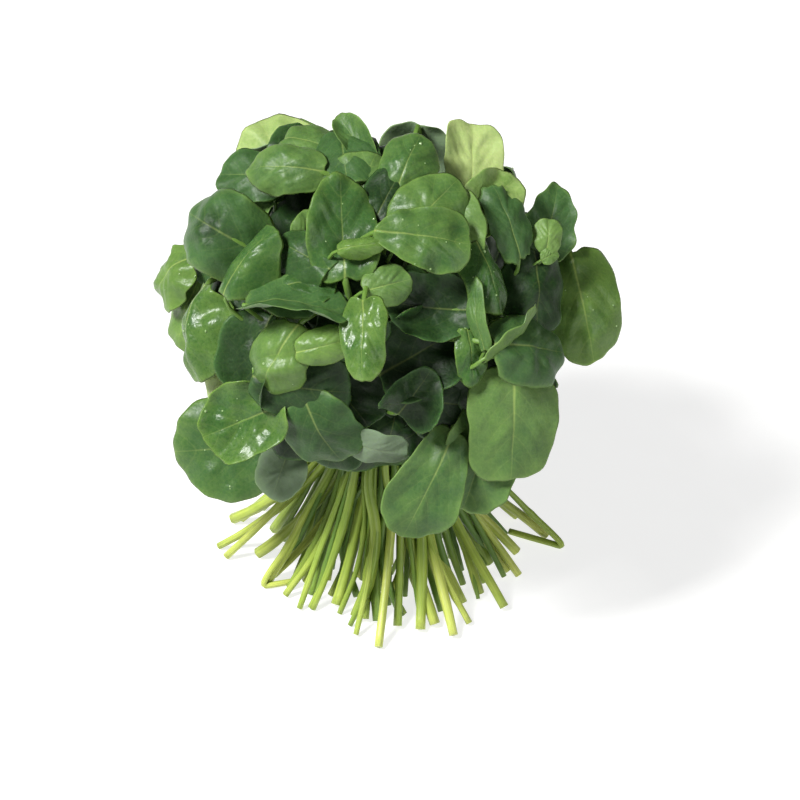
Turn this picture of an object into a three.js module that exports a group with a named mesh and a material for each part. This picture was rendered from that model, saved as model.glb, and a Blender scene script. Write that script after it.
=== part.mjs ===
// A bunch of watercress standing on its cut stems: stems, a band round the waist, and the crown's leaf blades.
// Millimetres, +Z up. The origin is on the surface that the bunch stands on, below the middle of its box.
// Every stem starts at its cut foot, passes through the band, and carries one blade at its upper end.
import * as THREE from "three";

// Driving dimensions
const bandHeight = 64; // middle of the band above the cut ends
const crownHeight = 109; // middle of the crown above the cut ends
const shellRadius = 75; // from the middle of the crown to the middle of an outer blade
const footRadius = 59; // how far the outermost stems splay on the surface
const stemRadius = { foot: 2.3, blade: 1.1 };
const bladeThickness = 0.9;
const gap = 0.6; // between a stem's end and its blade

// Seats: where the stems pass through the band, in a sunflower layout that keeps them apart
const seatPitch = 3.05;
const seatCount = 42;
const goldenAngle = THREE.MathUtils.degToRad(137.508);
const waistRadius = seatPitch * Math.sqrt(seatCount);

const band = { height: 7, thickness: 1.2, clearance: 0.5 };

const colours = { stem: 0x9fb84a, blade: 0x2f6b2a, band: 0x9c6a3f };

// The front leaves are laid out on a face that leans back: x runs to the right, y up the face,
// and lift is how far a blade stands off the crown's shell, all in millimetres.
// turn is where the tip points, clockwise from up; facing is the share by which the blade faces
// straight out of the leaning face instead of away from the middle of the crown.
// pitch lifts the tip and roll turns the blade about its midrib, in degrees.
const faceLean = THREE.MathUtils.degToRad(36);
const frontLeaves = [
  { x: -61, y: -50, lift: -2, turn: 262, pitch: 0, roll: 0, facing: 0.75, length: 40, width: 42 },
  { x: -48, y: -37, lift: 8, turn: 245, pitch: -8, roll: 6, facing: 0.6, length: 35, width: 29 },
  { x: -23, y: -43, lift: 0, turn: 160, pitch: -6, roll: 0, facing: 0.4, length: 31, width: 29 },
  { x: 15, y: -61, lift: 5, turn: 204, pitch: 0, roll: 0, facing: 0.7, length: 43, width: 27 },
  { x: 44, y: -39, lift: 6, turn: 178, pitch: 0, roll: 0, facing: 0.6, length: 42, width: 35 },
  { x: 50, y: -13, lift: 5, turn: 100, pitch: -10, roll: -10, facing: 0.3, length: 35, width: 28 },
  { x: 71, y: 3, lift: 3, turn: 166, pitch: 0, roll: 10, facing: 0.7, length: 42, width: 30 },
  { x: 60, y: 33, lift: 0, turn: 15, pitch: 0, roll: 0, facing: 0.8, length: 27, width: 20 },
  { x: 32, y: 56, lift: -4, turn: 4, pitch: 0, roll: 0, facing: 0.7, length: 32, width: 24 },
  { x: 8, y: 52, lift: 0, turn: 20, pitch: 0, roll: 0, facing: 0.3, length: 26, width: 22 },
  { x: 13, y: 24, lift: 6, turn: 96, pitch: -4, roll: 0, facing: 0.3, length: 35, width: 24 },
  { x: -15, y: 29, lift: 3, turn: 356, pitch: 0, roll: -8, facing: 0.5, length: 39, width: 27 },
  { x: -57, y: 28, lift: 2, turn: 300, pitch: 0, roll: 0, facing: 0.5, length: 35, width: 33 },
  { x: -77, y: 14, lift: 2, turn: 250, pitch: 0, roll: 0, facing: 0.4, length: 26, width: 24 },
  { x: -66, y: -7, lift: 4, turn: 190, pitch: 4, roll: 14, facing: 0.4, length: 36, width: 26 },
  { x: -36, y: -16, lift: 4, turn: 214, pitch: -6, roll: 0, facing: 0.3, length: 29, width: 24 },
  { x: -7, y: -10, lift: 8, turn: 180, pitch: -4, roll: 0, facing: 0.3, length: 29, width: 18 },
  { x: 17, y: 2, lift: -6, turn: 275, pitch: 0, roll: 0, facing: 0.2, length: 32, width: 26 },
  { x: 36, y: 12, lift: 2, turn: 160, pitch: 0, roll: 0, facing: 0.3, length: 28, width: 18 },
  { x: -35, y: 50, lift: 4, turn: 280, pitch: 0, roll: 0, facing: 0.5, length: 30, width: 20 },
];

// Where the outermost feet of the front and the sides stand, as [x, y] on the surface
const outerFeet = [
  [-62, -3],
  [-58, 13],
  [-48, -8],
  [-41, -20],
  [-29, -24],
  [-27, -39],
  [-18, -38],
  [-8, -46],
  [-3, -62],
  [12, -52],
  [4, -50],
  [25, -57],
  [44, -40],
  [29, -38],
  [46, -18],
  [50, -7],
  [62, 3],
];

// The other leaves go round the back and the top by the golden section, a little nearer to the middle.
// Their heights are shares of the radius, and their turns are shares of a half circle from +X over the back.
const backLeaves = {
  count: 9,
  radius: 68,
  length: 36,
  width: 30,
  fromHeight: -0.55,
  toHeight: 0.8,
  fromTurn: 0.22,
  turnRange: 0.6,
  droop: 10,
};
const goldenSection = 0.618;

// A repeatable number from 0 to 1 for item k of a kind
function vary(k, kind) {
  const s = Math.sin(k * 12.9898 + kind * 78.233) * 43758.5453;
  return s - Math.floor(s);
}

const crownMiddle = new THREE.Vector3(0, 0, crownHeight);
const faceRight = new THREE.Vector3(1, 0, 0);
const faceUp = new THREE.Vector3(0, Math.sin(faceLean), Math.cos(faceLean));
const faceOut = new THREE.Vector3(0, -Math.cos(faceLean), Math.sin(faceLean));

function combine(...terms) {
  const sum = new THREE.Vector3();
  for (const [vector, amount] of terms) sum.addScaledVector(vector, amount);
  return sum;
}

// Turns a blade's tip and normal by its pitch and roll, and gives the whole of its frame
function bladeFrame(middle, tip, normal, leaf) {
  tip.addScaledVector(normal, -tip.dot(normal)).normalize();
  const side = new THREE.Vector3().crossVectors(tip, normal).normalize();
  const pitch = THREE.MathUtils.degToRad(leaf.pitch);
  const roll = THREE.MathUtils.degToRad(leaf.roll);
  for (const v of [tip, normal]) v.applyAxisAngle(side, pitch);
  for (const v of [side, normal]) v.applyAxisAngle(tip, roll);
  const base = middle.clone().addScaledVector(tip, -leaf.length / 2);
  return { base, tip, normal, side, length: leaf.length, width: leaf.width };
}

function placeFrontLeaf(leaf) {
  const depth = Math.sqrt(Math.max(0, shellRadius ** 2 - leaf.x ** 2 - leaf.y ** 2));
  const outward = combine([faceRight, leaf.x], [faceUp, leaf.y], [faceOut, depth]).normalize();
  const normal = combine([outward, 1 - leaf.facing], [faceOut, leaf.facing]).normalize();
  const middle = combine([faceRight, leaf.x], [faceUp, leaf.y], [faceOut, depth], [normal, leaf.lift]);
  const turn = THREE.MathUtils.degToRad(leaf.turn);
  const tip = combine([faceRight, Math.sin(turn)], [faceUp, Math.cos(turn)]);
  return bladeFrame(middle.add(crownMiddle), tip, normal, leaf);
}

function placeBackLeaf(k) {
  const share = (k + 0.5) / backLeaves.count;
  const height = THREE.MathUtils.lerp(backLeaves.fromHeight, backLeaves.toHeight, share);
  const azimuth = Math.PI * (backLeaves.fromTurn + backLeaves.turnRange * ((k * goldenSection) % 1));
  const flat = Math.sqrt(1 - height ** 2);
  const normal = new THREE.Vector3(flat * Math.cos(azimuth), flat * Math.sin(azimuth), height);
  const middle = crownMiddle.clone().addScaledVector(normal, backLeaves.radius);
  const tip = new THREE.Vector3(normal.x, normal.y, -0.9);
  const size = 0.9 + 0.25 * vary(k, 1);
  return bladeFrame(middle, tip, normal, {
    pitch: -backLeaves.droop,
    roll: 24 * (vary(k, 2) - 0.5),
    length: backLeaves.length * size,
    width: backLeaves.width * size,
  });
}

// A blade is a sphere pressed to its outline: narrow at the base, broad and round past the middle
function bladeGeometry(frame) {
  const geometry = new THREE.SphereGeometry(1, 12, 9);
  const at = geometry.getAttribute("position");
  for (let i = 0; i < at.count; i++) {
    const along = (at.getY(i) + 1) / 2;
    const across = at.getX(i);
    const halfWidth = (frame.width / 2) * (0.86 + 0.22 * along);
    const cup = 0.1 * frame.width * across ** 2 - 0.07 * frame.length * (2 * along - 1) ** 2;
    const place = frame.base
      .clone()
      .addScaledVector(frame.tip, along * frame.length)
      .addScaledVector(frame.side, across * halfWidth)
      .addScaledVector(frame.normal, (at.getZ(i) * bladeThickness) / 2 + cup + 0.07 * frame.length);
    at.setXYZ(i, place.x, place.y, place.z);
  }
  return geometry;
}

// A stem's line: splayed below the band, straight up through it, and out to the base of its blade
function stemCurve(seat, foot, frame) {
  const points = [];
  for (const share of [1, 0.75, 0.5, 0.25]) {
    const splay = share ** 1.5;
    const xy = seat.clone().lerp(foot, splay);
    points.push(new THREE.Vector3(xy.x, xy.y, bandHeight * (1 - share)));
  }
  const waist = new THREE.Vector3(seat.x, seat.y, bandHeight);
  const outward = frame.base.clone().sub(crownMiddle).normalize();
  const arrival = combine([outward, 0.75], [frame.tip, 0.6]).normalize();
  const end = frame.base.clone().addScaledVector(arrival, -gap);
  const reach = end.distanceTo(waist);
  const rise = new THREE.CubicBezierCurve3(
    waist,
    waist.clone().add(new THREE.Vector3(seat.x * 0.4, seat.y * 0.4, reach * 0.4)),
    end.clone().addScaledVector(arrival, -reach * 0.35),
    end,
  );
  for (const share of [0, 0.2, 0.4, 0.6, 0.8, 1]) points.push(rise.getPoint(share));
  return new THREE.CatmullRomCurve3(points, false, "centripetal");
}

// Bends a tapered cylinder along a curve and trims its foot flush with the surface it stands on
function stemGeometry(curve, sides, steps) {
  const geometry = new THREE.CylinderGeometry(stemRadius.blade, stemRadius.foot, 1, sides, steps);
  const rings = [];
  for (let i = 0; i <= steps; i++) {
    const tangent = curve.getTangentAt(i / steps);
    const before = i ? rings[i - 1].normal : new THREE.Vector3(0, 0, -1);
    const normal = before.clone().addScaledVector(tangent, -before.dot(tangent)).normalize();
    const side = new THREE.Vector3().crossVectors(tangent, normal);
    rings.push({ point: curve.getPointAt(i / steps), tangent, normal, side });
  }
  const at = geometry.getAttribute("position");
  for (let i = 0; i < at.count; i++) {
    const ring = rings[Math.round((at.getY(i) + 0.5) * steps)];
    const place = combine([ring.point, 1], [ring.side, at.getX(i)], [ring.normal, at.getZ(i)]);
    if (ring === rings[0]) place.addScaledVector(ring.tangent, -place.z / ring.tangent.z);
    at.setXYZ(i, place.x, place.y, place.z);
  }
  return geometry;
}

function bandGeometry() {
  const inner = waistRadius + stemRadius.foot + band.clearance;
  const outer = inner + band.thickness;
  const low = bandHeight - band.height / 2;
  const high = bandHeight + band.height / 2;
  const profile = [
    new THREE.Vector2(inner, low),
    new THREE.Vector2(outer, low),
    new THREE.Vector2(outer, high),
    new THREE.Vector2(inner, high),
    new THREE.Vector2(inner, low),
  ];
  return new THREE.LatheGeometry(profile, 32).rotateX(Math.PI / 2);
}

// Gives each blade the free seat that lies most nearly under it
function chooseSeats(frames) {
  const free = [];
  for (let k = 0; k < seatCount; k++) {
    const radius = seatPitch * Math.sqrt(k + 0.5);
    free.push(new THREE.Vector2(radius, 0).rotateAround(new THREE.Vector2(), k * goldenAngle));
  }
  return frames.map((frame) => {
    const way = frame.base.clone().sub(crownMiddle);
    const polar = way.angleTo(new THREE.Vector3(0, 0, 1));
    const wanted = new THREE.Vector2(way.x, way.y).setLength(waistRadius * Math.min(1, polar / 1.8));
    free.sort((a, b) => a.distanceTo(wanted) - b.distanceTo(wanted));
    return free.shift();
  });
}

// Spreads a foot out from every seat, then moves the nearest of them onto each outer foot
function chooseFeet(seats) {
  const feet = seats.map((seat, k) => {
    const spread = (footRadius / waistRadius) * (0.86 + 0.22 * vary(k, 3));
    return seat.clone().multiplyScalar(spread).rotateAround(new THREE.Vector2(), 0.24 * (vary(k, 4) - 0.5));
  });
  const free = Array.from(feet.keys());
  for (const [x, y] of outerFeet) {
    const wanted = new THREE.Vector2(x, y);
    free.sort((a, b) => feet[a].distanceTo(wanted) - feet[b].distanceTo(wanted));
    feet[free.shift()] = wanted;
  }
  return feet;
}

function material(name, roughness) {
  return new THREE.MeshStandardMaterial({ color: colours[name], roughness, metalness: 0 });
}

const bunch = new THREE.Group();
const materials = { stem: material("stem", 0.45), blade: material("blade", 0.4), band: material("band", 0.7) };

function addMesh(name, geometry, kind) {
  const mesh = new THREE.Mesh(geometry, materials[kind]);
  mesh.name = name;
  bunch.add(mesh);
}

const frames = frontLeaves.map(placeFrontLeaf);
for (let k = 0; k < backLeaves.count; k++) frames.push(placeBackLeaf(k));
const seats = chooseSeats(frames);
const feet = chooseFeet(seats);

frames.forEach((frame, k) => {
  const number = String(k + 1).padStart(2, "0");
  addMesh("stem_" + number, stemGeometry(stemCurve(seats[k], feet[k], frame), 8, 16), "stem");
  addMesh("leaf_" + number, bladeGeometry(frame), "blade");
});

addMesh("band", bandGeometry(), "band");

// The origin goes below the middle of the whole bunch
const box = new THREE.Box3().setFromObject(bunch);
const middle = box.getCenter(new THREE.Vector3());
bunch.position.set(-middle.x, -middle.y, -box.min.z);

export default bunch;
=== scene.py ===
import bpy
import numpy as np
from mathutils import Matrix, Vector


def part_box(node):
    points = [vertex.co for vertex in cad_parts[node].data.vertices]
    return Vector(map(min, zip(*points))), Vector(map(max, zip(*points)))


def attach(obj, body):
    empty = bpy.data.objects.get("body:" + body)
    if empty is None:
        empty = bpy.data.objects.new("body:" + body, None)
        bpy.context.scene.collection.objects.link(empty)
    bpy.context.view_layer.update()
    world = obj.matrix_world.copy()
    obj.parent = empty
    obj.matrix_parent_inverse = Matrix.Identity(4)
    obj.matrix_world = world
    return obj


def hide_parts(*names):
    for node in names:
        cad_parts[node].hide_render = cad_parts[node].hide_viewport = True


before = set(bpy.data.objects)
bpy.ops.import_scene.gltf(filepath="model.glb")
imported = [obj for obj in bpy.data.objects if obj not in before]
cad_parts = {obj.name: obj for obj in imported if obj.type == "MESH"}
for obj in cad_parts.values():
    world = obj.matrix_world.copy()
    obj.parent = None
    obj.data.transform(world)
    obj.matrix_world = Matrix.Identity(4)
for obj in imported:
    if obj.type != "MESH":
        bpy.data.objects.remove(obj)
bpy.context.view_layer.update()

# A bunch of watercress that stands on its cut stems: blades, stems, side leaflets, water drops and the tie.
# Metres, +Z up. The large blades and their stems take their places from the frame's nodes.
mm = 0.001
golden = np.radians(137.508)

bunch = {
    "crownHeight": 109 * mm,  # middle of the crown above the surface
    "shell": 75 * mm,         # from there to the middle of an outer blade
    "lean": 36,               # how far the front face leans back, in degrees
}

bandLow, bandHigh = (np.array(corner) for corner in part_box("band"))
axisXY = (bandLow[:2] + bandHigh[:2]) / 2
waistHeight = (bandLow[2] + bandHigh[2]) / 2
crownMiddle = np.array([*axisXY, bunch["crownHeight"]])
leanAngle = np.radians(bunch["lean"])
faceRight = np.array([1.0, 0.0, 0.0])
faceUp = np.array([0.0, np.sin(leanAngle), np.cos(leanAngle)])
faceOut = np.array([0.0, -np.cos(leanAngle), np.sin(leanAngle)])


# A vector, or each row of an array of vectors, at length one
def unit(v):
    return v / np.maximum(np.linalg.norm(v, axis=-1, keepdims=True), 1e-12)


# The sum of the distances between the points of a path
def lengthOf(path):
    return np.linalg.norm(np.diff(path, axis=0), axis=1).sum()


# Turns v about the axis by an angle in degrees: the part across the axis goes round, the part along it stays
def turned(v, axis, degrees):
    angle = np.radians(degrees)
    stays = axis * (v @ axis) * (1 - np.cos(angle))
    return v * np.cos(angle) + np.cross(axis, v) * np.sin(angle) + stays


# Colour and materials

# One sRGB hex value as linear red, green, blue and alpha
def toLinear(hexValue):
    srgb = np.array([int(hexValue[k:k + 2], 16) for k in (1, 3, 5)]) / 255
    linear = np.where(srgb <= 0.04045, srgb / 12.92, ((srgb + 0.055) / 1.055) ** 2.4)
    return (*linear, 1.0)


# Adds a node, sets its properties and inputs, and links the inputs that are given as sockets
def addNode(tree, kind, inputs=None, **settings):
    node = tree.nodes.new(kind)
    for key, value in settings.items():
        setattr(node, key, value)
    for key, value in (inputs or {}).items():
        if isinstance(value, bpy.types.NodeSocket):
            tree.links.new(value, node.inputs[key])
        else:
            node.inputs[key].default_value = value
    return node


# A new material with its node tree and its skin shader
def newMaterial(name):
    material = bpy.data.materials.new(name)
    material.use_nodes = True
    tree = material.node_tree
    return material, tree, tree.nodes["Principled BSDF"]


# Two colours mixed, with the given share of the second. The first is a hex value or a socket.
def blend(tree, share, first, second):
    base = toLinear(first) if isinstance(first, str) else first
    inputs = {"Factor": share, "A": base, "B": toLinear(second)}
    return addNode(tree, "ShaderNodeMix", inputs, data_type="RGBA").outputs["Result"]


# Clouds of the given width all through the piece, from 0 to 1
def clouds(tree, width, detail=2.0):
    coords = addNode(tree, "ShaderNodeTexCoord")
    noise = addNode(tree, "ShaderNodeTexNoise",
                    {"Vector": coords.outputs["Object"], "Scale": 1 / width, "Detail": detail})
    return noise.outputs["Fac"]


# the darkest green stands both for an old blade and for painted shade on blades that lie in deep shadow
leafFinish = {
    "young": "#b4c27a", "fresh": "#65823a", "grown": "#335326", "oldAndShaded": "#12290c",
    "vein": "#aebc68", "under": "#8b9a82", "bloom": "#648060",
    "matt": 0.50, "wet": 0.29,     # roughness of a dry blade and of a wet one
    "ior": 1.37, "mirror": 0.36,
    "bloomShare": 0.22,            # how much of the grey bloom a dry young blade has
    "underShare": 0.4,             # how much of the underside's own colour shows below
    "reliefDeep": 0.35 * mm,
}
# Side veins on each half of a blade, how far they run forward, and the width of a cell of the fine netting
veins = {"pairs": 5.0, "lift": 0.62, "cell": 2.2 * mm}


# A blade's upper or lower skin, green and waxy. The tone attribute runs from 0, a dark blade, to 1, a pale
# one: it holds the blade's age, and on blades that lie in shadow it holds painted shade as well. The wet
# attribute runs from 0, dry and matt, to 1, wet and shining. The place attribute holds how far across (-1 to
# 1) and along (0 to 1) the blade a point is, and its share of the way out to the margin. Side veins lie
#    where
# along - lift * |across| ^ 1.4 is a whole number of steps.
def leafMaterial(name, under):
    material, tree, skin = newMaterial(name)
    links = tree.links
    tone = addNode(tree, "ShaderNodeAttribute", attribute_name="tone")
    wet = addNode(tree, "ShaderNodeAttribute", attribute_name="wet")
    place = addNode(tree, "ShaderNodeAttribute", attribute_name="place")
    axes = addNode(tree, "ShaderNodeSeparateXYZ", {0: place.outputs["Vector"]})

    def calc(operation, a, b=0.0, c=0.0, clamp=False):
        node = addNode(tree, "ShaderNodeMath", {0: a, 1: b, 2: c}, operation=operation, use_clamp=clamp)
        return node.outputs[0]

    across = calc("ABSOLUTE", axes.outputs["X"])
    lifted = calc("MULTIPLY", calc("POWER", across, 1.4), veins["lift"])
    step = calc("MULTIPLY", calc("SUBTRACT", axes.outputs["Y"], lifted), veins["pairs"])
    offLine = calc("ABSOLUTE", calc("SUBTRACT", calc("FRACT", step), 0.5))
    lateral = calc("MULTIPLY", calc("MULTIPLY_ADD", offLine, 14.0, -6.0, True),
                   calc("MULTIPLY_ADD", across, -1.1, 1.0, True))
    ribWidth = calc("MULTIPLY_ADD", axes.outputs["Y"], -0.035, 0.05)
    midrib = calc("MULTIPLY_ADD", calc("DIVIDE", across, ribWidth), -1.0, 1.0, True)
    coords = addNode(tree, "ShaderNodeTexCoord")
    netInputs = {"Vector": coords.outputs["Object"], "Scale": 1 / veins["cell"]}
    net = addNode(tree, "ShaderNodeTexVoronoi", netInputs, feature="DISTANCE_TO_EDGE")
    netLine = calc("MULTIPLY_ADD", net.outputs["Distance"], -9.0, 1.0, True)
    fade = calc("MULTIPLY_ADD", axes.outputs["Y"], -0.75, 0.95, True)
    veinShare = calc("ADD", calc("MULTIPLY", midrib, fade), calc("MULTIPLY", lateral, 0.16), 0.0, True)
    veinShare = calc("ADD", veinShare, calc("MULTIPLY", netLine, 0.06), 0.0, True)
    cloud = clouds(tree, 9 * mm, 3.0)
    fleck = clouds(tree, 1.2 * mm)
    shade = calc("MULTIPLY_ADD", cloud, 0.3, -0.15)
    shade = calc("ADD", shade, calc("MULTIPLY_ADD", fleck, 0.14, -0.07))
    # a thin pale margin, strongest on a dark blade: painted light, as where light catches the edge
    margin = calc("POWER", axes.outputs["Z"], 16.0)
    rimLightShare = calc("MULTIPLY_ADD", tone.outputs["Fac"], -0.4, 0.36)
    shade = calc("ADD", shade, calc("MULTIPLY", margin, rimLightShare))
    toned = calc("ADD", tone.outputs["Fac"], shade, 0.0, True)
    ramp = addNode(tree, "ShaderNodeValToRGB", {0: toned})
    stops = ramp.color_ramp.elements
    stops[0].position, stops[0].color = 0.08, toLinear(leafFinish["oldAndShaded"])
    stops[1].position, stops[1].color = 1.0, toLinear(leafFinish["young"])
    for at, key in ((0.38, "grown"), (0.70, "fresh")):
        stops.new(at).color = toLinear(leafFinish[key])
    # veins stand out more on a young blade than on an old one
    veinMix = calc("MULTIPLY", veinShare, calc("MULTIPLY_ADD", toned, 0.6, 0.15))
    colour = blend(tree, veinMix, ramp.outputs["Color"], leafFinish["vein"])
    # a dry blade has a grey bloom, which shows more on a young one
    dry = calc("MULTIPLY_ADD", wet.outputs["Fac"], -leafFinish["bloomShare"], leafFinish["bloomShare"])
    colour = blend(tree, calc("MULTIPLY", toned, dry), colour, leafFinish["bloom"])
    if under:
        colour = blend(tree, leafFinish["underShare"], colour, leafFinish["under"])
    links.new(colour, skin.inputs["Base Color"])
    smoother = leafFinish["wet"] - leafFinish["matt"]
    dryness = calc("MULTIPLY_ADD", wet.outputs["Fac"], smoother, leafFinish["matt"])
    rough = calc("ADD", dryness, calc("MULTIPLY_ADD", fleck, 0.2, 0.2 * under - 0.1))
    links.new(rough, skin.inputs["Roughness"])
    # sunk veins above and raised ones below, with the skin puffed up between them
    relief = calc("ADD", calc("MULTIPLY", veinShare, -0.5), calc("MULTIPLY", cloud, 0.8))
    relief = calc("ADD", relief, calc("MULTIPLY", net.outputs["Distance"], 0.8))
    relief = calc("ADD", relief, calc("MULTIPLY", fleck, 0.5))
    bump = addNode(tree, "ShaderNodeBump",
                   {"Strength": 0.42, "Distance": leafFinish["reliefDeep"], "Height": relief}, invert=under)
    links.new(bump.outputs["Normal"], skin.inputs["Normal"])
    skin.inputs["IOR"].default_value = leafFinish["ior"]
    skin.inputs["Specular IOR Level"].default_value = leafFinish["mirror"]
    skin.inputs["Subsurface Weight"].default_value = 0.12
    skin.inputs["Subsurface Radius"].default_value = (0.6, 1.0, 0.2)
    skin.inputs["Subsurface Scale"].default_value = 0.9 * mm
    return material


stemFinish = {
    "foot": "#ccd46c", "middle": "#9db34a", "top": "#5d8036", "stain": "#5c6f2e", "cut": "#d8dca6",
    "rough": 0.36, "ior": 1.40,
}


# A stem's skin, juicy and ridged. The grain attribute holds the cosine and sine round the stem and how green
# it is, so streaks run along it and its colour goes from pale at the foot to green at the top.
def stemMaterial():
    material, tree, skin = newMaterial("juicy stem skin")
    grain = addNode(tree, "ShaderNodeAttribute", attribute_name="grain")
    axes = addNode(tree, "ShaderNodeSeparateXYZ", {0: grain.outputs["Vector"]})
    drawn = addNode(tree, "ShaderNodeVectorMath", {0: grain.outputs["Vector"], 1: (3.2, 3.2, 5.0)},
                    operation="MULTIPLY")
    streak = addNode(tree, "ShaderNodeTexNoise",
                     {"Vector": drawn.outputs[0], "Scale": 1.0, "Detail": 3.0, "Roughness": 0.6})
    jitter = addNode(tree, "ShaderNodeMath", {0: clouds(tree, 14 * mm), 1: 0.5, 2: -0.25},
                     operation="MULTIPLY_ADD")
    height = addNode(tree, "ShaderNodeMath", {0: axes.outputs["Z"], 1: jitter.outputs[0]}, operation="ADD")
    ramp = addNode(tree, "ShaderNodeValToRGB", {0: height.outputs[0]})
    stops = ramp.color_ramp.elements
    stops[0].position, stops[0].color = 0.0, toLinear(stemFinish["foot"])
    stops[1].position, stops[1].color = 0.75, toLinear(stemFinish["top"])
    stops.new(0.3).color = toLinear(stemFinish["middle"])
    amount = addNode(tree, "ShaderNodeMath", {0: streak.outputs["Fac"], 1: 1.3, 2: -0.4},
                     operation="MULTIPLY_ADD", use_clamp=True)
    streaked = blend(tree, amount.outputs[0], ramp.outputs["Color"], stemFinish["stain"])
    tree.links.new(streaked, skin.inputs["Base Color"])
    bump = addNode(tree, "ShaderNodeBump",
                   {"Strength": 0.5, "Distance": 0.25 * mm, "Height": streak.outputs["Fac"]})
    tree.links.new(bump.outputs["Normal"], skin.inputs["Normal"])
    skin.inputs["Roughness"].default_value = stemFinish["rough"]
    skin.inputs["IOR"].default_value = stemFinish["ior"]
    skin.inputs["Subsurface Weight"].default_value = 0.15
    skin.inputs["Subsurface Radius"].default_value = (0.9, 1.0, 0.3)
    skin.inputs["Subsurface Scale"].default_value = 1.5 * mm
    return material


# The wet, pale flesh of a cut end, a little darker between cells 0.6 mm wide
def cutMaterial():
    material, tree, skin = newMaterial("cut stem flesh")
    coords = addNode(tree, "ShaderNodeTexCoord")
    cells = addNode(tree, "ShaderNodeTexVoronoi",
                    {"Vector": coords.outputs["Object"], "Scale": 1 / (0.6 * mm)})
    flesh = blend(tree, cells.outputs["Distance"], stemFinish["cut"], stemFinish["middle"])
    tree.links.new(flesh, skin.inputs["Base Color"])
    skin.inputs["Roughness"].default_value = 0.4
    skin.inputs["Subsurface Weight"].default_value = 0.2
    skin.inputs["Subsurface Scale"].default_value = 1.0 * mm
    return material


rubberFinish = {"brown": "#a9743f", "chalky": "#c79a63"}


# Natural rubber, extruded and cut: matt, with a fine chalky bloom 0.8 mm across
def rubberMaterial():
    material, tree, skin = newMaterial("natural rubber")
    bloom = clouds(tree, 0.8 * mm, 4.0)
    colour = blend(tree, bloom, rubberFinish["brown"], rubberFinish["chalky"])
    tree.links.new(colour, skin.inputs["Base Color"])
    bump = addNode(tree, "ShaderNodeBump", {"Strength": 0.3, "Distance": 0.1 * mm, "Height": bloom})
    tree.links.new(bump.outputs["Normal"], skin.inputs["Normal"])
    skin.inputs["Roughness"].default_value = 0.62
    skin.inputs["IOR"].default_value = 1.52
    return material


leafAbove = leafMaterial("waxy leaf skin", False)
leafBelow = leafMaterial("matt leaf underside", True)
stemSkin = stemMaterial()
cutFlesh = cutMaterial()
rubber = rubberMaterial()
print("materials done")


# Meshes

# Puts grids of rings into one closed mesh. Quads join each ring to the next, and a fan of triangles joins an
# end ring to its pole. Each body is a dictionary with rings (rows, sides, 3), two poles, a material number
# for each band of faces, from the first fan to the last, and point fields as rows for pole, rings and pole.
# Faces point outward, as the volumes that they span with the origin then add up to more than nothing.
def addPiece(name, bodies, materials, nodes=()):
    points, corners, sizes, kinds, start = [], [], [], [], 0
    fields = {key: [] for key in bodies[0]["fields"]}
    for body in bodies:
        rings = body["rings"]
        rows, sides = rings.shape[:2]
        here = np.concatenate([[body["poles"][0]], rings.reshape(-1, 3), [body["poles"][1]]])
        ring = start + 1 + np.arange(rows * sides).reshape(rows, sides)
        after = np.roll(ring, -1, axis=1)
        quads = np.stack([ring[:-1], after[:-1], after[1:], ring[1:]], -1).reshape(-1, 4)
        first = np.stack([np.full(sides, start), after[0], ring[0]], -1)
        last = np.stack([np.full(sides, start + len(here) - 1), ring[-1], after[-1]], -1)
        fan = np.concatenate([first, last])
        triangles = np.concatenate([fan, quads[:, :3], quads[:, [0, 2, 3]]]) - start
        a, b, c = (here[triangles[:, k]] for k in range(3))
        if np.einsum("ij,ij->i", a, np.cross(b, c)).sum() < 0:
            quads, first, last = quads[:, ::-1], first[:, ::-1], last[:, ::-1]
        band = np.asarray(body["kinds"])
        points.append(here)
        corners += [first.ravel(), quads.ravel(), last.ravel()]
        sizes += [np.full(sides, 3), np.full(len(quads), 4), np.full(sides, 3)]
        kinds += [np.full(sides, band[0]), np.repeat(band[1:-1], sides), np.full(sides, band[-1])]
        for key, value in body["fields"].items():
            fields[key].append(value)
        start += len(here)
    points, corners, sizes = np.concatenate(points), np.concatenate(corners), np.concatenate(sizes)
    mesh = bpy.data.meshes.new(name)
    mesh.vertices.add(len(points))
    mesh.vertices.foreach_set("co", points.ravel())
    mesh.loops.add(len(corners))
    mesh.loops.foreach_set("vertex_index", corners)
    mesh.polygons.add(len(sizes))
    mesh.polygons.foreach_set("loop_start", np.concatenate([[0], np.cumsum(sizes)[:-1]]))
    mesh.polygons.foreach_set("material_index", np.concatenate(kinds))
    mesh.update(calc_edges=True)
    mesh.shade_smooth()
    for key, parts in fields.items():
        values = np.concatenate(parts)
        kind, slotKey = ("FLOAT", "value") if values.ndim == 1 else ("FLOAT_VECTOR", "vector")
        mesh.attributes.new(key, kind, "POINT").data.foreach_set(slotKey, values.ravel())
    for material in materials:
        mesh.materials.append(material)
    piece = bpy.data.objects.new(name, mesh)
    bpy.context.scene.collection.objects.link(piece)
    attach(piece, "root")
    if nodes:
        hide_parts(*nodes)
    return piece


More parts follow.
